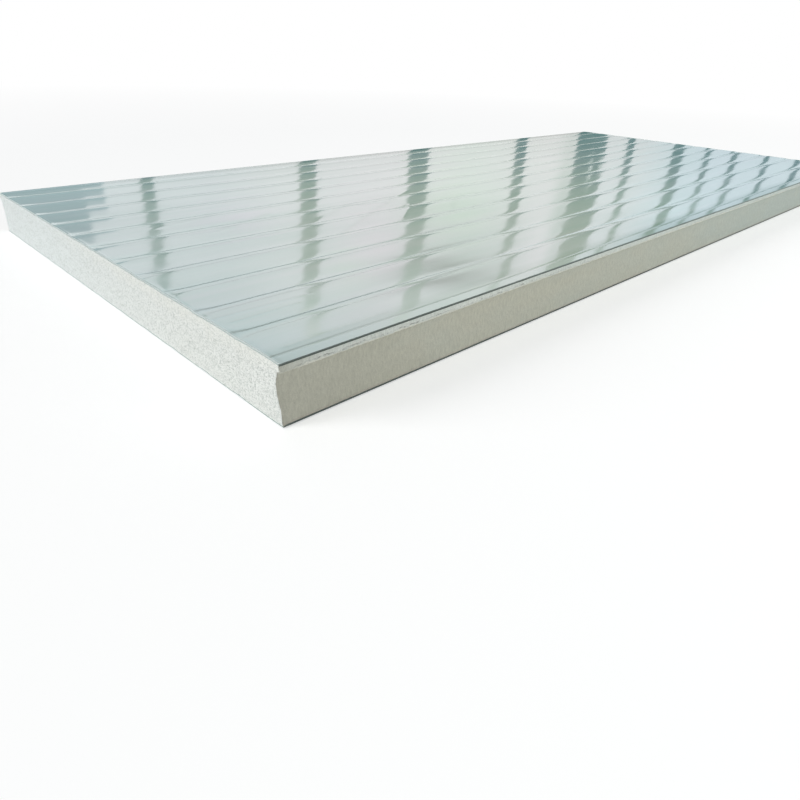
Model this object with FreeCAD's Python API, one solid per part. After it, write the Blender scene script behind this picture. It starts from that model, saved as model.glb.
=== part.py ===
import FreeCAD, Part
import os

# An insulated sandwich panel: two pressed steel facings bonded to a rigid foam core.
# Sizes are in millimetres. X runs along the panel, Y across it and Z up through it.
# The origin is the middle of the panel's lower face.

# The whole panel
length = 2160.0
width = 950.0
thickness = 75.0

# The facings: thin sheet with shallow flat-bottomed grooves rolled in, all along the panel.
# The bays between them are slightly crowned: they fall away on both sides before each groove.
sheet_thickness = 0.5
first_groove = 87.0        # from the low Y edge to the middle of the first groove
groove_pitch = 80.0
groove_room = 60.0         # least distance from a groove's middle to the high Y edge
groove_mouth = 14.0
groove_floor = 8.0
groove_depth = 0.7         # below the bays' level
crown_run = 13.0           # width of the gentle fall on each side of a groove's mouth
crown_drop = 0.2

# The flat margins along the long edges, a little lower than the bays, and the ramp up from them
low_margin = 20.0
high_margin = 16.0
margin_drop = 0.8
margin_ramp = 10.0

# The core's long sides: a straight lip, a torn ledge, a hollow, a slope back out of it and a
# long taper to the foot. Levels are below the upper face, depths inward from the lip.
facing_overhang = 1.0
lip_height = 9.0
ledge_depth = 3.5
ledge_drop = 2.0
hollow_depth = 7.5
hollow_level = 28.0        # of the deepest line
slope_depth = 5.5
slope_level = 42.0         # where the hollow turns into the slope
taper_depth = 1.2
taper_level = 54.0         # where the slope turns into the taper
foot_height = 4.0


def groove_middles():
    # Distance of each groove's middle from the low Y edge
    count = int((width - groove_room - first_groove) // groove_pitch) + 1
    return [first_groove + groove_pitch * number for number in range(count)]


def facing_profile(inset):
    # Points (y, drop) across the panel: the drop is how far the sheet lies inside the bays' level
    low_edge, high_edge = -width / 2, width / 2
    points = [(low_edge + inset, margin_drop),
              (low_edge + low_margin, margin_drop),
              (low_edge + low_margin + margin_ramp, 0.0)]
    for middle in groove_middles():
        y = low_edge + middle
        points += [(y - groove_mouth / 2 - crown_run, 0.0), (y - groove_mouth / 2, crown_drop),
                   (y - groove_floor / 2, groove_depth), (y + groove_floor / 2, groove_depth),
                   (y + groove_mouth / 2, crown_drop), (y + groove_mouth / 2 + crown_run, 0.0)]
    points += [(high_edge - high_margin - margin_ramp, 0.0),
               (high_edge - high_margin, margin_drop),
               (high_edge - inset, margin_drop)]
    return points


def upper_line(depth, inset=0.0):
    # The upper facing's section line, at a depth below its outer surface, from low to high Y
    return [FreeCAD.Vector(-length / 2, y, thickness - drop - depth)
            for y, drop in facing_profile(inset)]


def lower_line(depth, inset=0.0):
    # The lower facing's section line, the mirror image of the upper one
    return [FreeCAD.Vector(-length / 2, y, drop + depth) for y, drop in facing_profile(inset)]


def polyline_edges(points):
    return [Part.LineSegment(start, end).toShape() for start, end in zip(points, points[1:])]


def run_along(edges):
    # A closed section made solid over the panel's whole length
    section = Part.Face(Part.Wire(Part.__sortEdges__(edges)))
    return section.extrude(FreeCAD.Vector(length, 0, 0))


def facing(section_line):
    # A sheet between its outer and its inner surface
    outer = section_line(0.0)
    inner = section_line(sheet_thickness)
    return run_along(polyline_edges(outer + inner[::-1] + outer[:1]))


def side_edges(lip_y, inward, top, bottom):
    # Edges down one long side of the core, where inward is the sign of Y towards the middle
    def at(depth, level):
        return FreeCAD.Vector(-length / 2, lip_y + inward * depth, thickness - level)

    lip_end = at(0.0, lip_height)
    ledge_end = at(ledge_depth, lip_height + ledge_drop)
    deepest = at(hollow_depth, hollow_level)
    slope_start = at(slope_depth, slope_level)
    taper_start = at(taper_depth, taper_level)
    foot_top = at(0.0, thickness - foot_height)
    return (polyline_edges([top, lip_end, ledge_end])
            + [Part.Arc(ledge_end, deepest, slope_start).toShape()]
            + polyline_edges([slope_start, taper_start, foot_top, bottom]))


def foam_core():
    # The core fills the space between the facings and stops short of their long edges
    top = upper_line(sheet_thickness, facing_overhang)
    bottom = lower_line(sheet_thickness, facing_overhang)
    edges = polyline_edges(top) + polyline_edges(bottom)
    edges += side_edges(top[0].y, 1, top[0], bottom[0])
    edges += side_edges(top[-1].y, -1, top[-1], bottom[-1])
    return run_along(edges)


nodes = {
    "top_facing": facing(upper_line),
    "foam_core": foam_core(),
    "bottom_facing": facing(lower_line),
}

os.makedirs("parts", exist_ok=True)
for name, shape in nodes.items():
    shape.exportStep("parts/" + name + ".step")
    print(name, "valid", shape.isValid(), "volume", round(shape.Volume), "faces", len(shape.Faces))
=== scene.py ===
import math

import bpy
import numpy as np
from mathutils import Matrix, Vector


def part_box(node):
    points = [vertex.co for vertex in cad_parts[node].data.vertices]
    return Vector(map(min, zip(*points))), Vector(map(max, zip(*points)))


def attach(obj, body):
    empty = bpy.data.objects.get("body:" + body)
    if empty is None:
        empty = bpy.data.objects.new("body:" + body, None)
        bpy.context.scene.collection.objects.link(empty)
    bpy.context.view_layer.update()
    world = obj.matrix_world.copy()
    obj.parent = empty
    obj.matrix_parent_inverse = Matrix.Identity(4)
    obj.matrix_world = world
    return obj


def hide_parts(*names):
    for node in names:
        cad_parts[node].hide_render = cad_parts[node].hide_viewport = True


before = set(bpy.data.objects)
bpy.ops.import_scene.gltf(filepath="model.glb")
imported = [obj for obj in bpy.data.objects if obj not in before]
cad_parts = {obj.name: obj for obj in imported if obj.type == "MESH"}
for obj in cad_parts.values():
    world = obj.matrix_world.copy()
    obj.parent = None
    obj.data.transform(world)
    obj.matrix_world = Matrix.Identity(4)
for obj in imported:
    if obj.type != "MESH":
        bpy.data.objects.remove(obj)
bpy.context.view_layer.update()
mm = 0.001

sheetLow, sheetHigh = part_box("top_facing")
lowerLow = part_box("bottom_facing")[0]
coreLow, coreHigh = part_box("foam_core")
panelLength = sheetHigh.x - sheetLow.x
panelWidth = sheetHigh.y - sheetLow.y
panelTop = sheetHigh.z


def addObject(name, data):
    thing = bpy.data.objects.new(name, data)
    bpy.context.scene.collection.objects.link(thing)
    return thing


# small helpers for node trees: each adds to the tree that was begun last

nodeTrees = []


def begin(tree):
    tree.nodes.clear()
    nodeTrees.append(tree)


def put(kind, inputs=None, **settings):
    # adds a node, sets its choices, then fills or links its inputs
    tree = nodeTrees[-1]
    node = tree.nodes.new(kind)
    for setting, value in settings.items():
        setattr(node, setting, value)
    for socket, value in (inputs or {}).items():
        if isinstance(value, bpy.types.NodeSocket):
            tree.links.new(value, node.inputs[socket])
        else:
            node.inputs[socket].default_value = value
    return node


def calc(operation, *terms, clamped=False):
    return put("ShaderNodeMath", dict(enumerate(terms)), operation=operation,
               use_clamp=clamped).outputs[0]


def product(*factors):
    result = factors[0]
    for factor in factors[1:]:
        result = calc("MULTIPLY", result, factor)
    return result


def minus(first, second):
    return calc("SUBTRACT", first, second)


def apart(first, second):
    return calc("ABSOLUTE", minus(first, second))


def bell(*factors):
    # 1 where the product of the factors is 0, and nearly 0 where it is 4
    return calc("EXPONENT", product(*factors, -1.0))


def axes(point):
    return put("ShaderNodeSeparateXYZ", {0: point}).outputs


def newMaterial(name):
    material = bpy.data.materials.new(name)
    material.use_nodes = True
    begin(material.node_tree)
    return material


def objectPoint(scale=(1.0, 1.0, 1.0)):
    # object coordinates, in metres, stretched by a scale for each axis
    point = put("ShaderNodeTexCoord").outputs["Object"]
    return put("ShaderNodeMapping", {"Vector": point, "Scale": scale}).outputs[0]


def pointValue(name):
    return put("ShaderNodeAttribute", attribute_name=name).outputs["Fac"]


def noiseOf(point, scale, detail=3.0, roughness=0.5):
    return put("ShaderNodeTexNoise",
               {"Vector": point, "Scale": scale, "Detail": detail, "Roughness": roughness}).outputs[0]


def spread(value, fromLow, fromHigh, low=0.0, high=1.0):
    # from low to high as the value goes from fromLow to fromHigh, and level outside
    return put("ShaderNodeMapRange", {"Value": value, 1: fromLow, 2: fromHigh, 3: low, 4: high}).outputs[0]


def blendColours(factor, first, second):
    node = put("ShaderNodeMix", {0: factor, 6: first, 7: second}, data_type="RGBA")
    return node.outputs[2]


def times(colour, tone):
    return put("ShaderNodeMix", {0: 1.0, 6: colour, 7: tone}, data_type="RGBA",
               blend_type="MULTIPLY").outputs[2]


def toned(factor, colour, tone):
    # the colour, multiplied by a tone where the factor is 1
    return blendColours(factor, colour, times(colour, tone))


def bump(height, metres):
    return put("ShaderNodeBump", {"Height": height, "Strength": 1.0, "Distance": metres}).outputs[0]


def finishMaterial(shader):
    put("ShaderNodeOutputMaterial", {"Surface": shader})


# camera, solved from the edges of the panel's upper face

cameraView = {
    "place": (-1.3683, -0.9266, 0.3496),
    "turnDegrees": (59.42, -2.25, -44.20),
    "focalPixels": 598.8,
    "framePixels": 800.0,
    "sensorMm": 36.0,
}


def setCamera():
    lens = bpy.data.cameras.new("viewCamera")
    lens.sensor_width = cameraView["sensorMm"]
    lens.lens = cameraView["focalPixels"] / cameraView["framePixels"] * cameraView["sensorMm"]
    lens.clip_start = 0.01
    camera = addObject("viewCamera", lens)
    camera.location = cameraView["place"]
    camera.rotation_euler = [math.radians(angle) for angle in cameraView["turnDegrees"]]
    bpy.context.scene.camera = camera
    print("camera set")


# finishes

paintLook = {
    "pale": (0.455, 0.555, 0.550, 1.0),
    "cool": (0.430, 0.535, 0.535, 1.0),
    "roughness": 0.086,
    "filmScale": 22.0,  # of the uneven gloss
    "streakScale": 9.0,
    "bandScale": 34.0,  # of bands along the sheet, a little greener and pinker than it
    "bandGreen": (0.405, 0.520, 0.485, 1.0),
    "bandPink": (0.485, 0.545, 0.540, 1.0),
    "bandShare": 0.6,
    "peelScale": 260.0,
    "peelMetres": 0.0000025,  # height of the paint's faint orange peel
    # soft creases near one end: x and y of both ends, half width, height
    "creases": [
        (-0.720, -0.140, -0.515, -0.020, 0.0075, 0.00026), (-0.515, -0.020, -0.395, 0.040, 0.006, 0.00022),
        (-0.560, -0.120, -0.480, -0.060, 0.006, 0.00024), (-0.595, 0.005, -0.515, -0.015, 0.006, 0.00018),
        (-0.720, -0.060, -0.600, 0.005, 0.008, 0.00020), (-0.880, -0.010, -0.760, 0.035, 0.007, 0.00024),
        (-0.960, 0.060, -0.850, 0.085, 0.007, 0.00022), (-0.420, -0.120, -0.360, -0.070, 0.009, 0.00022),
        (-1.070, -0.333, -0.940, -0.335, 0.003, 0.00012), (-1.060, -0.354, -0.970, -0.352, 0.0025, 0.00012),
        (-1.070, -0.314, -0.950, -0.312, 0.0025, 0.00010), (-1.050, -0.444, -0.910, -0.443, 0.003, 0.00010),
    ],
    "creasePaintedShade": (0.90, 0.92, 0.91, 1.0),
    "shoulderPaintedShade": (0.80, 0.84, 0.81, 1.0),  # painted shade beside the margins' crease
    "linePaintedShade": (0.70, 0.74, 0.71, 1.0),  # painted shade in the crease itself
    "lineWidth": 0.0020,
    "marginPaintedShade": (0.62, 0.68, 0.66, 1.0),  # painted shade of the margins, away from the low X end
}


def softRidge(point, start, end, halfWidth):
    # 1 along a line between two places on the sheet, fading over its half width
    length = math.dist(start, end)
    east, north = (end[0] - start[0]) / length, (end[1] - start[1]) / length

    def distanceAlong(offset, direction):
        return put("ShaderNodeVectorMath", {0: offset, 1: direction},
                   operation="DOT_PRODUCT").outputs["Value"]

    offset = put("ShaderNodeVectorMath", {0: point, 1: (*start, 0.0)}, operation="SUBTRACT").outputs[0]
    along = distanceAlong(offset, (east, north, 0.0))
    aside = distanceAlong(offset, (-north, east, 0.0))
    # past either end the distance along counts too
    beyond = calc("MAXIMUM", product(along, -1.0), minus(along, length))
    beyond = product(calc("MAXIMUM", beyond, 0.0), 0.5)
    away = calc("MULTIPLY_ADD", aside, aside, product(beyond, beyond))
    return bell(away, 1.0 / halfWidth ** 2)


def facingPaint():
    look = paintLook
    material = newMaterial("facingPaint")
    point = objectPoint()
    streaks = noiseOf(objectPoint((0.12, 1.0, 1.0)), look["streakScale"], 4.0)
    colour = blendColours(streaks, look["pale"], look["cool"])
    film = noiseOf(objectPoint((0.4, 1.0, 1.0)), look["filmScale"], 4.0, 0.6)
    roughness = spread(film, 0.3, 0.7, look["roughness"] * 0.7, look["roughness"] * 1.4)
    bands = noiseOf(objectPoint((0.05, 1.0, 1.0)), look["bandScale"], 3.0, 0.6)
    banded = blendColours(spread(bands, 0.36, 0.64), look["bandGreen"], look["bandPink"])
    colour = blendColours(look["bandShare"], colour, banded)
    height = product(noiseOf(point, look["peelScale"], 2.0), look["peelMetres"])
    creaseShadeMask = 0.0
    for startX, startY, endX, endY, halfWidth, rise in look["creases"]:
        ridge = softRidge(point, (startX, startY), (endX, endY), halfWidth)
        height = calc("MULTIPLY_ADD", ridge, rise, height)
        creaseShadeMask = calc("MAXIMUM", ridge, creaseShadeMask)
    # painted shade along the creases, over the bump that raises them
    colour = toned(creaseShadeMask, colour, look["creasePaintedShade"])
    # painted shade: darker in the margins' crease and on its shoulder, and over the margins themselves
    place = axes(point)
    inside = minus(panelWidth / 2, calc("ABSOLUTE", place["Y"]))
    crease = facingShape["lowMargin"] * mm
    shoulder = product(spread(inside, crease * 1.2, crease * 2.1, 1.0, 0.0),
                       spread(inside, crease * 0.82, crease * 0.92))
    colour = toned(shoulder, colour, look["shoulderPaintedShade"])
    fromLine = calc("DIVIDE", minus(inside, crease * 0.97), look["lineWidth"])
    colour = toned(bell(fromLine, fromLine), colour, look["linePaintedShade"])
    paintedMarginShade = product(spread(inside, crease * 1.2, crease * 1.9, 1.0, 0.0),
                    spread(place["X"], sheetLow.x * 0.5, sheetLow.x * 0.25))
    colour = toned(paintedMarginShade, colour, look["marginPaintedShade"])
    shader = put("ShaderNodeBsdfPrincipled", {"Base Color": colour, "Roughness": roughness, "IOR": 1.5,
                                              "Normal": bump(height, 1.0)})
    finishMaterial(shader.outputs[0])
    return material


steelLook = {
    "sawnLitTones": ((0.68, 0.77, 0.75, 1.0), (0.92, 1.00, 0.98, 1.0)),  # painted light, a pale lit copy of the bare steel: darkest and lightest
    "sawnFaceShade": (0.47, 0.56, 0.53, 1.0),  # painted shade: tone of the cut end faces
    "sawnRoughness": 0.55,
    # the long edges' steel and a band of the face beside them, painted nearly black: painted shade along the
    # sheet's edge
    "slitShadedTones": ((0.050, 0.068, 0.058, 1.0), (0.090, 0.113, 0.098, 1.0)),
    "slitShadeLift": 2.2,  # painted shade, times brighter towards the high X end
    "slitRoughness": 0.6,
    "grainScale": 900.0,
}


def bareSteel(name, tones, roughness, face=(1.0, 1.0, 1.0, 1.0), far=1.0):
    # the sheet's bare metal, uneven from cutting, with painted light and shade in its tones
    material = newMaterial(name)
    point = objectPoint()
    grain = noiseOf(point, steelLook["grainScale"], 2.0)
    along = axes(point)["X"]
    colour = blendColours(grain, *tones)
    # painted shade: lighter by far towards the high X end
    colour = times(colour, spread(along, sheetLow.x + 0.2, sheetLow.x + 1.3, 1.0, far))
    # painted shade on the cut end faces, by face
    onFace = spread(calc("ABSOLUTE", along), sheetHigh.x - 0.3 * mm, sheetHigh.x - 0.1 * mm)
    shader = put("ShaderNodeBsdfPrincipled",
                 {"Base Color": toned(onFace, colour, face),
                  "Roughness": spread(grain, 0.0, 1.0, roughness - 0.1, roughness + 0.1)})
    finishMaterial(shader.outputs[0])
    return material


foamLook = {
    "cut": (0.945, 0.970, 0.930, 1.0),
    "cutFar": (0.930, 0.980, 0.970, 1.0),
    "cutWarm": (0.960, 0.978, 0.925, 1.0),
    "cutPit": (0.560, 0.610, 0.565, 1.0),
    "skinNear": (0.668, 0.655, 0.560, 1.0),
    "skinFar": (0.600, 0.650, 0.608, 1.0),
    "skinFoot": (0.585, 0.543, 0.485, 1.0),
    "lipNear": (0.870, 0.900, 0.850, 1.0),
    "lipFar": (0.740, 0.795, 0.765, 1.0),
    # pale torn skin, with a painted highlight
    "torn": (1.000, 0.990, 0.900, 1.0),
    "crack": (0.300, 0.290, 0.250, 1.0),
    "crackShare": 0.65,
    "cornerPaintedShade": 0.86,  # painted shade on the sides, next to the low X end
    "cornerReach": 0.25,
    "warmBand": 0.024,  # metres below the upper face
    "warmCover": 0.30,  # share of the pits that it hides
    "footTop": 0.0065,  # metres above the floor
    "grainScale": 900.0,
    "pitScale": 330.0,
    "windingScale": 290.0,
    "fuzzScale": 400.0,
    "tearScale": 210.0,
    "reliefMetres": 0.0005,
    "roughness": 0.95,
}


def rigidFoam():
    look = foamLook
    material = newMaterial("rigidFoam")
    point = objectPoint()
    place = axes(point)
    fromLowEnd = minus(place["X"], sheetLow.x)
    # cut ends: fine open grains with small pits, and thin winding cracks between them
    fine = noiseOf(point, look["grainScale"], 3.0, 0.6)
    middling = noiseOf(point, look["pitScale"], 3.0, 0.65)
    pitted = calc("MULTIPLY_ADD", fine, 0.45, product(middling, 0.55))
    winding = noiseOf(objectPoint((1.0, 0.48, 1.10)), look["windingScale"], 2.0, 0.55)
    pits = product(spread(pitted, 0.35, 0.46), spread(apart(winding, 0.5), 0.004, 0.036, 0.30, 1.0))
    # warmer and smoother towards the upper sheet, but not on the high Y side
    broad = noiseOf(point, 30.0, 3.0, 0.6)
    level = calc("MULTIPLY_ADD", minus(broad, 0.5), 0.05, place["Z"])
    farSide = spread(minus(place["Y"], sheetLow.y), 0.2, 0.7)
    warm = spread(level, panelTop - look["warmBand"], panelTop - 0.3 * look["warmBand"])
    warm = product(warm, minus(1.0, farSide))
    cutColour = blendColours(farSide, look["cut"], look["cutFar"])
    cutColour = blendColours(warm, cutColour, look["cutWarm"])
    shown = calc("MULTIPLY_ADD", minus(1.0, pits), product(warm, look["warmCover"]), pits)
    cutColour = blendColours(shown, look["cutPit"], cutColour)
    # long sides: a smoother skin with faint upright fuzz, browner at the foot
    striae = noiseOf(objectPoint((1.0, 1.0, 0.30)), look["fuzzScale"], 4.0, 0.65)
    stains = noiseOf(objectPoint((1.0, 1.0, 3.0)), 5.0, 3.0, 0.6)
    along = spread(place["X"], sheetLow.x * 0.75, sheetHigh.x * 0.5)
    along = calc("MULTIPLY_ADD", minus(stains, 0.5), 1.1, along, clamped=True)
    skinColour = blendColours(along, look["skinNear"], look["skinFar"])
    foot = spread(place["Z"], 0.002, look["footTop"], 0.7, 0.0)
    skinColour = blendColours(foot, skinColour, look["skinFoot"])
    fuzz = calc("MULTIPLY_ADD", striae, 0.50, calc("MULTIPLY_ADD", fine, 0.40, 0.55))
    # painted shade: the sides darker near the low X end
    fuzz = product(fuzz, spread(fromLowEnd, 0.0, look["cornerReach"], look["cornerPaintedShade"], 1.0))
    skinColour = times(skinColour, fuzz)
    # the lip is paler, torn and ragged below, with short cracks near the low X end; the torn fringe is pale
    # skin with a painted highlight
    ragged = noiseOf(point, look["tearScale"], 3.0, 0.7)
    jagged = calc("MULTIPLY_ADD", ragged, 3.2, calc("ADD", pointValue("aboveTear"), -1.6))
    lip = product(spread(jagged, -5.2, -3.2), spread(fromLowEnd, 0.005, 0.06, 0.3, 1.0))
    patchy = product(spread(noiseOf(point, 26.0, 2.0), 0.36, 0.56, 0.25, 1.0),
                     spread(fromLowEnd, 0.01, 0.05, 0.15, 1.0))
    beads = noiseOf(objectPoint((0.6, 1.0, 1.0)), 330.0, 2.0)
    fringe = product(spread(apart(jagged, -2.5), 1.9, 2.9, 1.0, 0.0),
                     spread(beads, 0.42, 0.54, 0.45, 1.0), patchy)
    broken = noiseOf(objectPoint((0.5, 1.0, 1.0)), 420.0, 2.0)
    cracks = product(spread(apart(jagged, 1.4), 0.3, 0.9, 1.0, 0.0),
                     spread(broken, 0.50, 0.62), patchy,
                     spread(fromLowEnd, 0.20, 0.65, 1.0, 0.15))
    lipColour = blendColours(along, look["lipNear"], look["lipFar"])
    skinColour = blendColours(lip, skinColour, times(lipColour, fuzz))
    # painted highlight: the torn fringe is painted near white
    skinColour = blendColours(fringe, skinColour, look["torn"])
    skinColour = blendColours(product(cracks, look["crackShare"]), skinColour, look["crack"])
    skin = pointValue("skin")
    colour = blendColours(skin, cutColour, skinColour)
    # painted shade: dark where the core runs in under a sheet
    colour = times(colour, spread(pointValue("gap"), 0.0, 0.25, 1.0, 0.03))
    cutRelief = calc("MULTIPLY_ADD", pits, 0.6, fine)
    skinRelief = calc("MULTIPLY_ADD", fine, 0.5, product(striae, 0.8))
    torn = calc("MULTIPLY_ADD", cracks, -1.6, product(fringe, 1.4))
    relief = put("ShaderNodeMix", {0: skin, 2: cutRelief, 3: calc("ADD", skinRelief, torn)}).outputs[0]
    shader = put("ShaderNodeBsdfPrincipled",
                 {"Base Color": colour, "Roughness": look["roughness"], "Specular IOR Level": 0.2,
                  "Normal": bump(relief, look["reliefMetres"])})
    finishMaterial(shader.outputs[0])
    return material


# facings: a flat closed blank, pressed by a node tree

facingShape = {
    "thickness": 0.5,  # sizes in millimetres
    "firstGroove": 87.0,
    "groovePitch": 80.0,
    "grooveCount": 11,
    "grooveFloor": 5.0,  # a floor between two soft walls
    "grooveMouth": 18.0,
    "grooveDrop": 0.22,
    "stepFloor": 10.6,  # a steeper thin step in each wall
    "stepMouth": 13.8,
    "stepDrop": 0.27,
    "crownDrop": 0.36,  # of the bays' gentle fall towards each groove
    "crownReach": 13.0,
    "dishDrop": 0.12,  # of the bays' own uneven hollow and lean
    "leanHeight": 0.08,
    "dishAlong": 5.0,  # hollows for each metre
    "lowMargin": 20.0,
    "highMargin": 16.0,
    "marginDrop": 0.12,  # of the gentle shoulder inside a margin
    "marginRamp": 16.0,
    "marginFall": 0.62,  # from a margin's crease to its edge
    "creaseDrop": 0.16,  # of the thin line where a margin begins
    "creaseReach": 1.4,
    "rollDrop": 0.36,  # of the rounded long edges
    "rollReach": 3.0,
    "shadedEdgeWidth": 2.9,  # width of the line of painted shade along the long edges
    "sharpDegrees": 40,
    "endDrop": 0.20,  # of the dent left along the cut ends by the saw
    "endReach": 2.3,
    "endPlace": 4.2,
    "burrCells": 3,
    "columnSpacing": (0.0008, 0.026, 0.16),  # metres: at the ends, in the middle, and reach
    "flareReach": 16.0,  # over which the grooves open out at the cut ends
    "flareShare": 0.7,
    "waveHeight": 0.18,
    "waveAlong": 3.0,  # waves for each metre along and across
    "waveAcross": 9.0,
    "seed": 3.0,
}


def gradedSteps(total, fine, coarse, reach):
    # places from 0 to total, close together near both ends
    places = [0.0]
    while places[-1] < total / 2:
        share = min(1.0, places[-1] / reach)
        places.append(places[-1] + fine + (coarse - fine) * share)
    scale = total / 2 / places[-1]
    half = [place * scale for place in places]
    return half + [total - place for place in reversed(half[:-1])]


def stepsAcross(width):
    # rows across the sheet in millimetres: dense in the grooves and at the margins
    shape = facingShape
    grooves = [shape["firstGroove"] + shape["groovePitch"] * n for n in range(shape["grooveCount"])]
    offsets = [0, 2.5, 4.2, 5.2, 5.6, 5.95, 6.3, 6.65, 7.0, 8.0, 10, 13, 16.5, 21, 26.5, 33]
    rows = {0.0, width}
    for groove in grooves:
        rows.update(groove + sign * offset for offset in offsets for sign in (-1, 1))
        rows.add(groove + shape["groovePitch"] / 2)
    for margin in (shape["lowMargin"], width - shape["highMargin"]):
        rows.update(margin + offset for offset in (-1.6, -0.8, 0, 0.8, 1.6, 3, 5, 7.5, 10, 13))
        rows.update(margin - offset for offset in (3, 5, 7.5, 10, 12.5))
    for step in (0.4, shape["shadedEdgeWidth"], 1.2, 1.7, 2.3, 3.2, 4.5):
        rows.update((step, width - step))
    kept = []
    for row in sorted(rows):
        if 0 <= row <= width and (not kept or row - kept[-1] > 0.28):
            kept.append(row)
    kept[-1] = width
    return kept


def flatBlank(name, xs, ys, outer, inner):
    # a closed thin sheet: an outer and an inner grid, joined by a rim, bare of paint where it was cut, with
    # painted light at the cut ends and painted shade along the long edges
    columns, rows = len(xs), len(ys)
    grid = [(x, y) for x in xs for y in ys]
    points = [(x, y, outer) for x, y in grid] + [(x, y, inner) for x, y in grid]
    below = len(grid)
    faces = []
    for i in range(columns - 1):
        for j in range(rows - 1):
            a, b = i * rows + j, (i + 1) * rows + j
            faces.append((a, b, b + 1, a + 1))
            faces.append((below + a, below + a + 1, below + b + 1, below + b))
    around = ([(i * rows, (i + 1) * rows) for i in range(columns - 1)]
              + [((columns - 1) * rows + j, (columns - 1) * rows + j + 1) for j in range(rows - 1)]
              + [((i + 1) * rows + rows - 1, i * rows + rows - 1) for i in range(columns - 1)]
              + [(j + 1, j) for j in range(rows - 1)])
    rim = [(b, a, below + a, below + b) for a, b in around]
    if outer < inner:
        faces = [face[::-1] for face in faces]
        rim = [face[::-1] for face in rim]
    mesh = bpy.data.meshes.new(name)
    mesh.from_pydata(points, [], faces + rim)
    # the saw left bare metal on the outermost cells at both ends, painted pale as a highlight along the cut
    # ends
    bare = facingShape["burrCells"]
    ends = [*range(bare), *range(columns - 1 - bare, columns - 1)]
    burr = [2 * (i * (rows - 1) + j) for i in ends for j in range(rows - 1)]
    atEnd = [abs(points[face[0]][0] - points[face[2]][0]) < 1e-9 for face in rim]
    litSawn = np.array([False] * len(faces) + atEnd)
    litSawn[burr] = True
    # painted shade: the long rims and a band of the outer face beside them take the darkened steel
    shadedSlit = [face[0] < below and min(abs(points[corner][1]) for corner in face)
            > panelWidth / 2 - (facingShape["shadedEdgeWidth"] + 0.1) * mm for face in faces]
    shadedSlit += [not end for end in atEnd]
    for attribute, values in (("litSawn", litSawn.tolist()), ("shadedSlit", shadedSlit)):
        mesh.attributes.new(attribute, "BOOLEAN", "FACE").data.foreach_set("value", values)
    return addObject(name, mesh)


# the tree's inputs that come from facingShape: lengths, and numbers for each metre
pressLengths = ["First Groove", "Groove Pitch", "Groove Drop", "Groove Floor", "Groove Mouth", "Step Drop",
                "Step Floor", "Step Mouth", "Crown Drop", "Crown Reach", "Low Margin", "High Margin",
                "Margin Drop", "Margin Ramp", "Margin Fall", "Crease Drop", "Crease Reach", "Roll Drop",
                "Roll Reach", "End Drop", "End Reach", "End Place", "Dish Drop", "Lean Height", "Wave Height"]
pressNumbers = ["Dish Along", "Wave Along", "Wave Across"]


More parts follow.
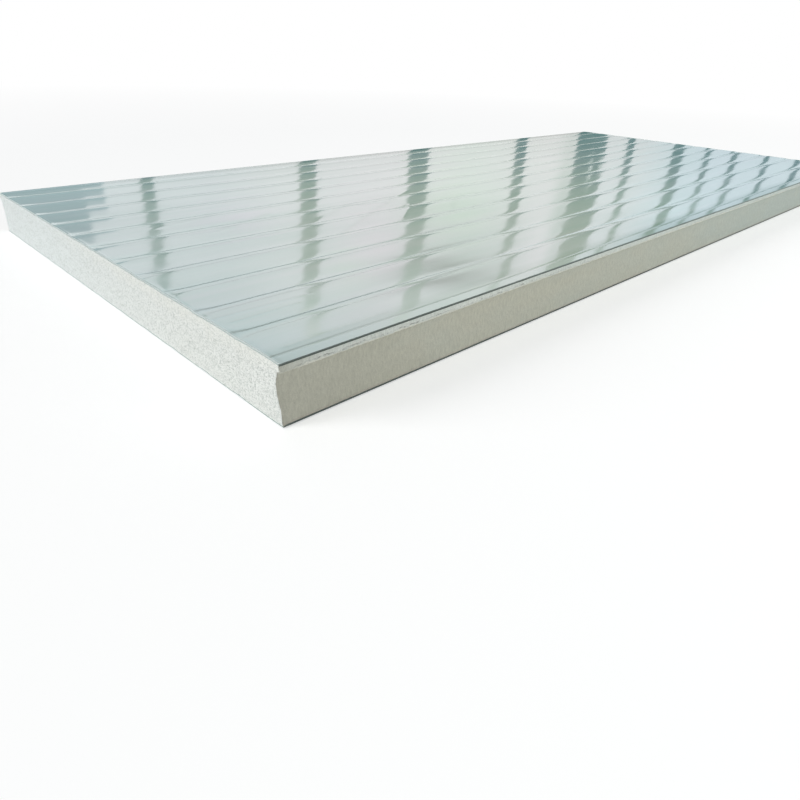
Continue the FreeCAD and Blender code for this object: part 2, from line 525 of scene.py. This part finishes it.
def pressTree():
    tree = bpy.data.node_groups.new("pressFacing", "GeometryNodeTree")
    begin(tree)
    face = tree.interface
    face.new_socket("Blank", in_out="INPUT", socket_type="NodeSocketGeometry")
    for size in pressLengths + pressNumbers + ["Width", "Half Length", "Last Groove", "Seed", "Inward"]:
        face.new_socket(size, in_out="INPUT", socket_type="NodeSocketFloat")
    for finish in ("Paint", "Lit Sawn Steel", "Shaded Slit Steel"):
        face.new_socket(finish, in_out="INPUT", socket_type="NodeSocketMaterial")
    face.new_socket("Pressed", in_out="OUTPUT", socket_type="NodeSocketGeometry")
    given = put("NodeGroupInput").outputs
    split = axes(put("GeometryNodeInputPosition").outputs[0])
    across = calc("MULTIPLY_ADD", given["Width"], 0.5, split["Y"])
    fromEnd = minus(given["Half Length"], calc("ABSOLUTE", split["X"]))

    def fall(distance, reach, drop):
        # a smooth dip: full at distance 0, nearly gone at twice the reach
        share = calc("DIVIDE", distance, reach)
        return product(bell(share, share), drop)

    def rollOff(distance, reach, drop, power=2.0):
        # a rounded edge: full at distance 0, gone at the reach
        left = calc("SUBTRACT", 1.0, calc("DIVIDE", distance, reach), clamped=True)
        return product(calc("POWER", left, power), drop)

    # distance to the nearest groove
    number = calc("DIVIDE", minus(across, given["First Groove"]), given["Groove Pitch"])
    nearest = calc("MAXIMUM", calc("ROUND", number), 0.0)
    nearest = calc("MINIMUM", nearest, given["Last Groove"])
    away = product(apart(number, nearest), given["Groove Pitch"])
    # grooves have a floor between two short walls, and open out where the sheet was cut
    spreadAway = calc("DIVIDE", away, calc("ADD", 1.0, fall(fromEnd, facingShape["flareReach"] * mm,
                                                            facingShape["flareShare"])))

    def trough(kind):
        return put("ShaderNodeMapRange",
                   {"Value": spreadAway, 1: product(given[kind + " Floor"], 0.5),
                    2: product(given[kind + " Mouth"], 0.5), 3: given[kind + " Drop"], 4: 0.0},
                   interpolation_type="SMOOTHSTEP").outputs[0]

    valley = calc("ADD", trough("Groove"), trough("Step"))
    crown = fall(away, given["Crown Reach"], given["Crown Drop"])

    def margin(distance, broad):
        # a gentle shoulder down to a crease, and from there an even fall to the edge
        past = minus(distance, broad)
        ramp = rollOff(calc("MAXIMUM", past, 0.0), given["Margin Ramp"], given["Margin Drop"])
        left = calc("SUBTRACT", 1.0, calc("DIVIDE", distance, broad), clamped=True)
        return calc("ADD", calc("MULTIPLY_ADD", left, given["Margin Fall"], ramp),
                    fall(past, given["Crease Reach"], given["Crease Drop"]))

    def seededNoise(x, y, detail):
        point = put("ShaderNodeCombineXYZ", {"X": x, "Y": y}).outputs[0]
        return put("ShaderNodeTexNoise",
                   {"Vector": point, "W": given["Seed"], "Scale": 1.0, "Detail": detail},
                   noise_dimensions="4D").outputs

    # each bay is dished and leans unevenly along its length, and stays level at its grooves
    bay = calc("FLOOR", number)
    turn = product(minus(number, bay), 2 * math.pi)
    swell = seededNoise(product(split["X"], given["Dish Along"]), product(bay, 7.31), 2.0)
    tones = axes(swell["Color"])
    level = calc("MULTIPLY_ADD", calc("COSINE", turn), -0.5, 0.5)
    dishes = product(level, tones[0], given["Dish Drop"])
    lean = product(calc("SINE", turn), minus(tones[1], 0.5))
    leans = product(calc("ADD", lean, 0.5), given["Lean Height"])
    fromHigh = minus(given["Width"], across)
    margins = calc("ADD", margin(across, given["Low Margin"]), margin(fromHigh, given["High Margin"]))
    rolls = calc("ADD", rollOff(across, given["Roll Reach"], given["Roll Drop"], 4.0),
                 rollOff(fromHigh, given["Roll Reach"], given["Roll Drop"], 4.0))
    ends = fall(minus(fromEnd, given["End Place"]), given["End Reach"], given["End Drop"])
    wave = seededNoise(product(split["X"], given["Wave Along"]),
                       product(split["Y"], given["Wave Across"]), 1.0)[0]
    waves = product(wave, given["Wave Height"])
    drop = valley
    for part in (crown, dishes, leans, margins, rolls, ends, waves):
        drop = calc("ADD", drop, part)
    shift = put("ShaderNodeCombineXYZ", {"Z": product(drop, given["Inward"])})
    moved = put("GeometryNodeSetPosition", {"Geometry": given["Blank"], "Offset": shift.outputs[0]})
    whole = put("GeometryNodeRealizeInstances", {0: moved.outputs[0]})
    painted = put("GeometryNodeSetMaterial", {"Geometry": whole.outputs[0], "Material": given["Paint"]})
    for cut, steel in (("litSawn", "Lit Sawn Steel"), ("shadedSlit", "Shaded Slit Steel")):
        chosen = put("GeometryNodeInputNamedAttribute", {"Name": cut}, data_type="BOOLEAN")
        painted = put("GeometryNodeSetMaterial",
                      {"Geometry": painted.outputs[0], "Selection": chosen.outputs[0],
                       "Material": given[steel]})
    put("NodeGroupOutput", {0: painted.outputs[0]})
    return tree


def setInputs(modifier, values):
    # gives each named input of the tree its value, by the socket's identifier
    for socket in modifier.node_group.interface.items_tree:
        if socket.in_out == "INPUT" and socket.name in values:
            modifier[socket.identifier] = values[socket.name]


def plainMesh(source, name):
    # the evaluated shape of an object as a new piece with a plain mesh
    bpy.context.view_layer.update()
    evaluated = source.evaluated_get(bpy.context.evaluated_depsgraph_get())
    mesh = bpy.data.meshes.new_from_object(evaluated)
    mesh.name = name
    piece = addObject(name, mesh)
    bpy.data.objects.remove(source)
    return piece


def shadeSmooth(piece, sharpDegrees):
    piece.data.shade_smooth()
    piece.data.set_sharp_from_angle(angle=math.radians(sharpDegrees))


def sizeOf(title):
    # the value for an input of the tree: firstGroove for First Groove, and so on
    return facingShape[title[0].lower() + title[1:].replace(" ", "")]


def makeFacing(name, node, tree, outer, inward, seed, finishes):
    xs = [sheetLow.x + step for step in gradedSteps(panelLength, *facingShape["columnSpacing"])]
    ys = [sheetLow.y + row * mm for row in stepsAcross(panelWidth / mm)]
    blank = flatBlank(name + "Blank", xs, ys, outer, outer + inward * facingShape["thickness"] * mm)
    press = blank.modifiers.new("press", "NODES")
    press.node_group = tree
    values = {title: sizeOf(title) * mm for title in pressLengths}
    values.update({title: sizeOf(title) for title in pressNumbers})
    values.update({"Width": panelWidth, "Half Length": panelLength / 2, "Seed": seed, "Inward": inward,
                   "Last Groove": facingShape["grooveCount"] - 1.0, **finishes})
    setInputs(press, values)
    piece = plainMesh(blank, name)
    shadeSmooth(piece, facingShape["sharpDegrees"])
    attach(piece, "root")
    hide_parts(node)
    print(name, "made,", len(piece.data.polygons), "faces")
    return piece


# foam core: closed rings of points from the foot up to the lip

coreShape = {
    "lipHeight": 9.0,  # sizes in millimetres, levels below the upper face
    "ledgeDepth": 3.5,
    "ledgeDrop": 2.0,
    "hollowDepth": 7.5,
    "hollowLevel": 28.0,
    "slopeDepth": 5.5,
    "slopeLevel": 42.0,
    "taperDepth": 1.2,
    "taperLevel": 54.0,
    "footHeight": 4.0,
    "glueGap": 0.12,  # under and over the sheets
    "edgeGap": 1.0,  # more of it along the long edges
    "gapReach": 4.0,
    "endSpacing": 1.75,  # of the points on the cut ends
    "sideSpacing": (1.8, 5.5, 300.0),  # along the sides: at their ends, in the middle, and reach
    "ringSpacing": 2.1,
    "arrisReach": 5.0,  # over which the torn line dies out at the arrises
    "tearReach": 2.6,  # height over which the rings follow the torn line
    # cell and height of each size of unevenness
    "tears": ((9.0, 1.7), (3.0, 1.9)),
    "lumps": ((9.0, 0.25), (3.6, 0.22)),
    "grains": (3.1, 0.30),
    "chips": (2.6, 5.5),  # broken out of the sides next to the ends
    "chipReach": 2.0,
    "fuzz": ((2.0, 0.14), (14.0, 0.3)),
    "burrs": (3.0, 2.2),  # standing out along the torn line
    "burrReach": 0.8,
    "hiddenInset": 1.4,  # of the hidden faces, inside the sheets
    "sharpDegrees": 75,
}


def hashed(cells, seed):
    # a repeatable number from 0 to 1 for each row of whole numbers
    mixed = np.full(len(cells), seed * 374761393 + 668265263, dtype=np.uint64)
    for column, factor in zip(cells.T, (73856093, 19349663, 83492791)):
        mixed = (mixed ^ (column.astype(np.int64).astype(np.uint64) * np.uint64(factor)))
        mixed = (mixed ^ (mixed >> np.uint64(13))) * np.uint64(1274126177)
    mixed = (mixed ^ (mixed >> np.uint64(16))) & np.uint64(0xffffff)
    return mixed.astype(float) / 0xffffff


def softNoise(points, cell, seed):
    # smooth noise from 0 to 1 at points in millimetres
    scaled = points / cell
    base = np.floor(scaled)
    share = scaled - base
    share = share * share * (3 - 2 * share)
    total = np.zeros(len(points))
    for corner in np.ndindex(2, 2, 2):
        weight = np.prod(np.where(corner, share, 1 - share), axis=1)
        total += weight * hashed(base + corner, seed)
    return total


def grainNoise(points, cell, seed):
    # rounded grains: 0 in the middle of a grain, 1 far from any
    scaled = points / cell
    base = np.floor(scaled)
    nearest = np.full(len(points), 9.0)
    for corner in np.ndindex(3, 3, 3):
        cells = base + np.array(corner) - 1
        seedPoints = cells + np.stack([hashed(cells, seed + k) for k in range(3)], axis=1)
        nearest = np.minimum(nearest, np.linalg.norm(scaled - seedPoints, axis=1))
    return np.clip(nearest, 0, 1)


def sideDepth(level):
    # how far the long sides lie inside the lip, at a level below the upper face
    shape = coreShape
    ledgeEnd = shape["lipHeight"] + shape["ledgeDrop"]
    foot = panelTop / mm - shape["footHeight"]
    levels = [0, shape["lipHeight"], ledgeEnd, (ledgeEnd + shape["hollowLevel"]) / 2,
              shape["hollowLevel"], (shape["hollowLevel"] + shape["slopeLevel"]) / 2,
              shape["slopeLevel"], shape["taperLevel"], foot, panelTop / mm]
    depths = [0, 0, shape["ledgeDepth"], shape["hollowDepth"] * 0.88, shape["hollowDepth"],
              shape["hollowDepth"] * 0.95, shape["slopeDepth"], shape["taperDepth"], 0, 0]
    return np.interp(level, levels, depths)


def facingDrop(across):
    # the facing's grooves and margins, as the foam under it follows them, in millimetres
    shape = facingShape
    number = np.clip(np.round((across - shape["firstGroove"]) / shape["groovePitch"]),
                     0, shape["grooveCount"] - 1)
    away = np.abs(across - shape["firstGroove"] - number * shape["groovePitch"])
    drop = (np.interp(away, (shape["grooveFloor"] / 2, shape["grooveMouth"] / 2), (shape["grooveDrop"], 0))
            + np.interp(away, (shape["stepFloor"] / 2, shape["stepMouth"] / 2), (shape["stepDrop"], 0))
            + shape["crownDrop"] * np.exp(-(away / shape["crownReach"]) ** 2))
    width = panelWidth / mm
    for distance, broad in ((across, shape["lowMargin"]), (width - across, shape["highMargin"])):
        drop += shape["marginDrop"] * np.clip(1 - (distance - broad) / shape["marginRamp"], 0, 1) ** 2
        drop += shape["marginFall"] * np.clip(1 - distance / broad, 0, 1)
    return np.minimum(drop, 1.5)


def coreLevels():
    # heights of the rings above the floor, dense round the torn line under the lip
    shape = coreShape
    top = panelTop / mm
    tear = top - shape["lipHeight"]
    levels = [2.6, 3.4, 4.3, 5.6, 7.4]
    while levels[-1] < tear - 7.5:
        levels.append(levels[-1] + shape["ringSpacing"])
    levels += [tear + step for step in (-5.2, -3.7, -2.6, -1.8, -1.1, -0.5, 0.1, 0.7, 1.3, 2.0, 2.8,
                                        3.8, 5.2, 7.2)]
    return levels


def coreRing(xs, ys):
    # once round the core: share of the length and of the width, and whether it is on a long side
    return ([(x, 0.0, True) for x in xs[:-1]] + [(1.0, y, False) for y in ys[:-1]]
            + [(x, 1.0, True) for x in xs[:0:-1]] + [(0.0, y, False) for y in ys[:0:-1]])


def makeCore(foam):
    shape = coreShape
    length, width, top = panelLength / mm, panelWidth / mm, panelTop / mm
    coreWidth = (coreHigh.y - coreLow.y) / mm
    lengthwise = [step / length for step in gradedSteps(length, *shape["sideSpacing"])]
    columns = int(coreWidth / shape["endSpacing"])
    ring = coreRing(lengthwise, [n / columns for n in range(columns + 1)])
    alongShare, acrossShare = np.array([p[:2] for p in ring]).T
    onSide = np.array([p[2] for p in ring])
    count = len(ring)
    x0 = (alongShare - 0.5) * length
    fromEnd = length / 2 - np.abs(x0)
    steady = np.clip(fromEnd / shape["arrisReach"], 0, 1) * onSide
    atEnd = (alongShare == 0) | (alongShare == 1)
    inwardX = -np.sign(alongShare - 0.5) * atEnd
    inwardY = -np.sign(acrossShare - 0.5) * onSide
    line = np.stack([x0, acrossShare * 50, np.zeros(count)], axis=1)
    (broadCell, broadTear), (fineCell, fineTear) = shape["tears"]
    ragged = ((softNoise(line, broadCell, 5) - 0.5) * broadTear
              + (softNoise(line, fineCell, 6) - 0.5) * fineTear) * steady
    (lumpCell, lump), (knobCell, knob) = shape["lumps"]
    (fuzzCell, fuzz), (swellCell, swell) = shape["fuzz"]
    (grainCell, grain), (chipCell, chip), (burrCell, burr) = shape["grains"], shape["chips"], shape["burrs"]
    tearLevel = top - shape["lipHeight"]
    levels = coreLevels()
    rings, skins, heights, gaps = [], [], [], []
    for level in levels:
        above = level - tearLevel
        z = level + ragged * math.exp(-(above / shape["tearReach"]) ** 2)
        depth = sideDepth(top - level)
        y0 = -coreWidth / 2 + depth + acrossShare * (coreWidth - 2 * depth)
        # the cut ends follow the sheets, the sides keep their level
        share = (level - levels[0]) / (levels[-1] - levels[0])
        sheetInner = facingShape["thickness"] + shape["glueGap"] + facingDrop(y0 + width / 2)
        zEnd = sheetInner + (top - 2 * sheetInner) * share
        z = np.where(onSide, zEnd + (z - zEnd) * steady, zEnd)
        where = np.stack([x0, y0, z], axis=1)
        grains = (softNoise(where, lumpCell, 21) * lump + softNoise(where, knobCell, 22) * knob
                  + grainNoise(where, grainCell, 23) * grain)
        chips = (np.clip(softNoise(where, chipCell, 31) - 0.36, 0, 1) * chip
                 * np.exp(-fromEnd / shape["chipReach"]) * onSide)
        # the fuzz on the sides stands upright
        sideGrain = (softNoise(where * (1, 1, 0.12), fuzzCell, 41) * fuzz
                     + softNoise(where, swellCell, 42) * swell)
        tearing = math.exp(-((above - 0.2) / shape["burrReach"]) ** 2)
        burrs = (np.clip(softNoise(where * (0.5, 1, 1), burrCell, 43) * burr - 0.30, 0, 1)
                 * tearing * steady)
        x = x0 + inwardX * (0.1 + grains + chips * 0.4)
        y = y0 + inwardY * np.maximum(sideGrain + chips - burrs * 0.9, -0.9)
        rings.append(np.stack([x, y, z], axis=1))
        skins.append(onSide * 1.0)
        heights.append(np.full(count, above))
        gaps.append(np.zeros(count))
    # a step in and away from each sheet, then one flat hidden face
    lowest = facingShape["thickness"] + shape["hiddenInset"]
    for edge, hidden in ((0, lowest), (-1, top - lowest)):
        inner = rings[edge].copy()
        for axis, half in ((0, length / 2), (1, coreWidth / 2)):
            inner[:, axis] *= 1 - shape["gapReach"] / half
        inner[:, 2] = hidden
        for column, values in ((rings, inner), (skins, np.zeros(count)), (heights, heights[edge]),
                               (gaps, np.ones(count))):
            column.insert(0 if edge == 0 else len(column), values)
    # a wider gap under the upper sheet's long edges
    rings[-2][:, 2] -= shape["edgeGap"] * onSide * np.clip(fromEnd / 3.0, 0, 1)
    points = np.concatenate(rings) * mm
    faces = []
    for k in range(len(rings) - 1):
        for i in range(count):
            a, b = k * count + i, k * count + (i + 1) % count
            faces.append((a, b, b + count, a + count))
    faces.append(tuple(range(count - 1, -1, -1)))
    faces.append(tuple(range(len(points) - count, len(points))))
    mesh = bpy.data.meshes.new("foamCore")
    mesh.from_pydata(points.tolist(), [], faces)
    for name, values in (("skin", skins), ("aboveTear", heights), ("gap", gaps)):
        layer = mesh.attributes.new(name, "FLOAT", "POINT")
        layer.data.foreach_set("value", np.concatenate(values).astype(np.float32))
    mesh.materials.append(foam)
    piece = addObject("foamCore", mesh)
    shadeSmooth(piece, shape["sharpDegrees"])
    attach(piece, "root")
    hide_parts("foam_core")
    print("foamCore made,", len(mesh.polygons), "faces")
    return piece


# studio

studio = {
    "floorRadius": 30.0,
    "floorColour": (0.90, 0.90, 0.90, 1.0),
    "floorLift": 0.45,  # added where the camera sees the floor
    "floorFade": (1.6, 4.5),  # metres from the panel's middle
    "skyStrength": 0.34,
    "skyColour": (0.97, 0.99, 1.0, 1.0),
    "sunStrength": 1.78,
    "sunHeight": 19.0,  # degrees above the floor
    "sunTurn": 30.0,  # degrees from -X towards +Y
    "sunSoftness": 30.0,
    "fillPlace": (0.5, -3.4, 1.1),
    "fillSize": 2.4,
    "fillPower": 32.0,
    "fillColour": (0.95, 1.0, 0.94),
}


def emitter(colour, strength):
    return put("ShaderNodeEmission", {"Color": colour, "Strength": strength}).outputs[0]


def seenByMirrors():
    # 1 for camera, glossy and transmission rays
    path = put("ShaderNodeLightPath").outputs
    seen = calc("MAXIMUM", path["Is Camera Ray"], path["Is Glossy Ray"])
    return calc("MAXIMUM", seen, path["Is Transmission Ray"])


def setFloor():
    material = newMaterial("paleFloor")
    diffuse = put("ShaderNodeBsdfDiffuse", {"Color": studio["floorColour"]}).outputs[0]
    seen = seenByMirrors()
    lift = emitter((1, 1, 1, 1), product(seen, studio["floorLift"]))
    near = put("ShaderNodeAddShader", {0: diffuse, 1: lift}).outputs[0]
    far = emitter((1, 1, 1, 1), 1.0)
    point = objectPoint((1.0, 1.0, 0.0))
    away = put("ShaderNodeVectorMath", {0: point}, operation="LENGTH").outputs["Value"]
    # it fades into the white surround
    fade = product(spread(away, *studio["floorFade"]), seen)
    finishMaterial(put("ShaderNodeMixShader", {0: fade, 1: near, 2: far}).outputs[0])
    mesh = bpy.data.meshes.new("floor")
    corners = 96
    turns = [2 * math.pi * n / corners for n in range(corners)]
    ringPoints = [(studio["floorRadius"] * math.cos(turn), studio["floorRadius"] * math.sin(turn), 0.0)
                  for turn in turns]
    mesh.from_pydata(ringPoints, [], [tuple(range(corners))])
    mesh.materials.append(material)
    floor = addObject("floor", mesh)


def setWorld():
    world = bpy.data.worlds.new("softWorld")
    world.use_nodes = True
    begin(world.node_tree)
    sky = put("ShaderNodeBackground", {"Color": studio["skyColour"], "Strength": studio["skyStrength"]})
    white = put("ShaderNodeBackground", {"Color": (1, 1, 1, 1), "Strength": 1.0})
    mix = put("ShaderNodeMixShader", {0: seenByMirrors(), 1: sky.outputs[0], 2: white.outputs[0]})
    put("ShaderNodeOutputWorld", {"Surface": mix.outputs[0]})
    bpy.context.scene.world = world


def setSun():
    lamp = bpy.data.lights.new("softSun", "SUN")
    lamp.energy = studio["sunStrength"]
    lamp.angle = math.radians(studio["sunSoftness"])
    sun = addObject("softSun", lamp)
    height, turn = math.radians(studio["sunHeight"]), math.radians(studio["sunTurn"])
    towards = Vector((-math.cos(turn) * math.cos(height), math.sin(turn) * math.cos(height),
                      math.sin(height)))
    sun.rotation_euler = towards.to_track_quat("Z", "Y").to_euler()
    sun.visible_glossy = False


def setFill():
    lamp = bpy.data.lights.new("sideFill", "AREA")
    lamp.shape = "DISK"
    lamp.size = studio["fillSize"]
    lamp.energy = studio["fillPower"]
    lamp.color = studio["fillColour"]
    fill = addObject("sideFill", lamp)
    fill.location = studio["fillPlace"]
    aim = Vector((0.4, sheetLow.y, panelTop / 2)) - Vector(studio["fillPlace"])
    fill.rotation_euler = aim.to_track_quat("-Z", "Y").to_euler()
    fill.visible_glossy = False


mirrorWall = {
    "distance": 9.0,  # metres from the camera's foot
    "azimuths": (-35.0, 125.0),  # degrees, where the wall begins and ends
    "foot": -0.5,
    "height": 8.0,
    "strength": 3.1,
    # brightness by elevation in degrees
    "levels": [(0, 0.08), (2.5, 0.12), (5, 0.30), (6.4, 0.34), (8, 0.39), (11, 0.50), (14, 0.54),
               (18, 0.69), (21, 0.79), (25, 0.96), (29, 0.92), (33, 0.52), (40, 0.30), (50, 0.20)],
    # tint by azimuth in degrees
    "tints": [(10, (0.84, 0.99, 1.05)), (17, (0.875, 1.02, 1.11)), (19, (0.875, 1.02, 1.11)),
              (21.5, (0.85, 1.00, 1.06)), (25, (0.92, 0.98, 0.99)), (32, (1.0, 0.99, 0.97)),
              (39, (0.95, 1.0, 0.94)), (46, (1.0, 0.98, 0.98)), (56, (0.98, 1.0, 0.99)),
              (62, (0.88, 0.93, 0.94)), (75, (0.88, 0.95, 0.97))],
    "cloudTones": (0.86, 1.10),  # darkest and lightest
    "cloudBreadth": 40.0,
    # soft patches: azimuth and elevation of the middle, half width and height, tint
    "patches": [
        (40.5, 13.0, 4.0, 2.4, (0.96, 1.03, 0.93, 1.0)), (48.0, 16.0, 3.5, 3.5, (1.10, 1.02, 1.06, 1.0)),
        (40.5, 18.3, 4.6, 1.3, (0.35, 0.30, 0.25, 1.0)), (58.0, 15.4, 7.0, 0.6, (0.84, 0.92, 0.88, 1.0)),
        (31.5, 16.0, 2.2, 3.0, (1.20, 1.15, 1.18, 1.0)), (50.0, 18.6, 2.2, 1.2, (0.93, 1.03, 0.93, 1.0)),
        (60.5, 13.8, 4.0, 1.2, (1.08, 0.99, 1.06, 1.0)), (30.7, 12.5, 0.7, 6.5, (0.74, 0.80, 0.74, 1.0)),
        (17.5, 15.0, 4.5, 2.4, (0.42, 0.50, 0.48, 1.0)), (13.0, 10.6, 3.0, 1.5, (0.55, 0.62, 0.62, 1.0)),
        (60.0, 28.0, 14.0, 6.0, (0.80, 0.91, 0.94, 1.0)),
    ],
    # posts: azimuth of the middle and width, in degrees
    "posts": [(67.45, 1.04), (53.75, 1.50), (43.8, 1.75), (34.85, 0.90), (29.0, 2.40), (25.85, 0.55),
              (22.1, 0.82), (19.9, 0.40), (17.95, 0.42), (15.7, 0.36), (13.6, 0.40)],
    "postShades": [(5.5, (0.05, 0.19, 0.21)), (8, (0.15, 0.27, 0.27)), (10, (0.32, 0.46, 0.38)),
                   (12.5, (0.46, 0.60, 0.46)), (15, (0.66, 0.78, 0.61)), (18, (0.86, 0.98, 0.78)),
                   (21, (1.42, 1.62, 1.40)), (25, (2.5, 2.7, 2.5))],
    "postTints": [(14, (0.68, 0.86, 0.98)), (24, (0.92, 0.99, 0.97)), (29, (1.0, 0.97, 0.90)),
                  (36, (1.0, 0.97, 0.92)), (60, (0.98, 0.98, 0.97)), (66, (0.80, 0.90, 1.0))],
    "postGap": 0.5,  # metres before the wall
    "postTop": 26.0,  # elevation at which the posts have faded out
    "blocks": [(70.92, 72.4, 12.4), (72.35, 95.0, 15.6)],  # azimuths and top elevation
    "blockGap": 0.3,
    "blockShade": (0.50, 0.70, 0.75, 1.0),
    # thin bright strips: azimuth, width, elevations of the foot and the top
    "strips": [(28.75, 0.22, 7.9, 9.4), (27.95, 0.30, 7.7, 8.3)],
    "stripGap": 0.1,  # metres before the posts
    "stripShade": (1.35, 1.45, 1.38, 1.0),
}


def mirroredCard(name, azimuthLow, azimuthHigh, distance, low, high, material):
    # an upright card, bent round the camera's foot, that shows only in reflections
    foot = Vector(cameraView["place"]).xy
    steps = max(2, int((azimuthHigh - azimuthLow) / 2) + 1)
    points = []
    for n in range(steps + 1):
        angle = math.radians(azimuthLow + (azimuthHigh - azimuthLow) * n / steps)
        x, y = foot.x + distance * math.cos(angle), foot.y + distance * math.sin(angle)
        points += [(x, y, low), (x, y, high)]
    faces = [(2 * n, 2 * n + 2, 2 * n + 3, 2 * n + 1) for n in range(steps)]
    mesh = bpy.data.meshes.new(name)
    mesh.from_pydata(points, [], faces)
    mesh.materials.append(material)
    card = addObject(name, mesh)
    for ray in ("camera", "diffuse", "shadow", "transmission", "volume_scatter"):
        setattr(card, "visible_" + ray, False)


def mirroredEye():
    # height of the camera's mirror image under the panel's upper face
    return 2 * panelTop - cameraView["place"][2]


def elevationToHeight(distance, elevation):
    return mirroredEye() + distance * tangentOf(elevation)


def rampOf(value, stops):
    ramp = put("ShaderNodeValToRGB", {0: value})
    elements = ramp.color_ramp.elements
    while len(elements) < len(stops):
        elements.new(0.5)
    for element, (place, colour) in zip(elements, stops):
        element.position = place
        element.color = (*colour, 1.0)
    return ramp.outputs[0]


def wallTangent(distance):
    # tangent of the elevation at which a point of the wall is mirrored
    height = axes(objectPoint())["Z"]
    return calc("DIVIDE", minus(height, mirroredEye()), distance)


def wallAzimuth():
    # azimuth round the camera's foot, in degrees
    split = axes(objectPoint())
    x = minus(split["X"], cameraView["place"][0])
    y = minus(split["Y"], cameraView["place"][1])
    return calc("DEGREES", calc("ARCTAN2", y, x))


def rampByAzimuth(azimuth, stops):
    return rampOf(calc("DIVIDE", azimuth, 100.0), [(place / 100, tint) for place, tint in stops])


def tangentOf(elevation):
    return math.tan(math.radians(elevation))


def brightWall():
    wall = mirrorWall
    material = newMaterial("brightWall")
    tangent, azimuth = wallTangent(wall["distance"]), wallAzimuth()
    levels = rampOf(tangent, [(tangentOf(elevation), (level,) * 3) for elevation, level in wall["levels"]])
    tinted = times(levels, rampByAzimuth(azimuth, wall["tints"]))
    cloudPoint = put("ShaderNodeCombineXYZ", {"X": calc("DIVIDE", azimuth, wall["cloudBreadth"]),
                                              "Y": product(tangent, 14.0)})
    clouds = noiseOf(cloudPoint.outputs[0], 1.6, 4.0, 0.6)
    mottled = spread(clouds, 0.3, 0.7, *wall["cloudTones"])
    for middle, elevation, broad, high, tint in wall["patches"]:
        sideways = calc("DIVIDE", minus(azimuth, middle), broad)
        height = calc("DIVIDE", minus(tangent, tangentOf(elevation)), math.radians(high))
        away = calc("MULTIPLY_ADD", sideways, sideways, product(height, height))
        tinted = toned(bell(away), tinted, tint)
    finishMaterial(emitter(tinted, product(mottled, wall["strength"])))
    return material


def postMaterial(distance):
    wall = mirrorWall
    material = newMaterial("darkPost")
    brightest = wall["strength"]
    shades = [(tangentOf(elevation), [tone / brightest for tone in shade])
              for elevation, shade in wall["postShades"]]
    shade = times(rampOf(wallTangent(distance), shades),
                  rampByAzimuth(wallAzimuth(), wall["postTints"]))
    finishMaterial(emitter(shade, brightest))
    return material


def evenMaterial(name, shade):
    material = newMaterial(name)
    finishMaterial(emitter(shade, 1.0))
    return material


def setMirrorWall():
    wall = mirrorWall
    foot = wall["foot"]
    mirroredCard("brightWall", *wall["azimuths"], wall["distance"], foot, wall["height"], brightWall())
    postDistance = wall["distance"] - wall["postGap"]
    posts = postMaterial(postDistance)
    postHeight = elevationToHeight(postDistance, wall["postTop"])
    for n, (azimuth, broad) in enumerate(wall["posts"]):
        mirroredCard(f"darkPost{n + 1}", azimuth - broad / 2, azimuth + broad / 2, postDistance,
                     foot, postHeight, posts)
    blockDistance = wall["distance"] - wall["blockGap"]
    dark = evenMaterial("darkBlock", wall["blockShade"])
    for n, (low, high, elevation) in enumerate(wall["blocks"]):
        mirroredCard(f"darkBlock{n + 1}", low, high, blockDistance,
                     foot, elevationToHeight(blockDistance, elevation), dark)
    bright = evenMaterial("thinStrip", wall["stripShade"])
    for n, (azimuth, broad, low, high) in enumerate(wall["strips"]):
        low, high = elevationToHeight(postDistance, low), elevationToHeight(postDistance, high)
        mirroredCard(f"thinStrip{n + 1}", azimuth - broad / 2, azimuth + broad / 2,
                     postDistance - wall["stripGap"], low, high, bright)
    print("mirror wall set")


scene = bpy.context.scene
scene.view_settings.view_transform = "Standard"

setCamera()
finishes = {
    "Paint": facingPaint(),
    "Lit Sawn Steel": bareSteel("sawnSteelLit", steelLook["sawnLitTones"], steelLook["sawnRoughness"],
                            face=steelLook["sawnFaceShade"]),
    "Shaded Slit Steel": bareSteel("slitSteelShaded", steelLook["slitShadedTones"], steelLook["slitRoughness"],
                            far=steelLook["slitShadeLift"]),
}
press = pressTree()
seed = facingShape["seed"]
makeFacing("topFacing", "top_facing", press, sheetHigh.z, -1.0, seed, finishes)
makeFacing("bottomFacing", "bottom_facing", press, lowerLow.z, 1.0, seed + 5, finishes)
makeCore(rigidFoam())
setFloor()
setWorld()
setSun()
setFill()
setMirrorWall()
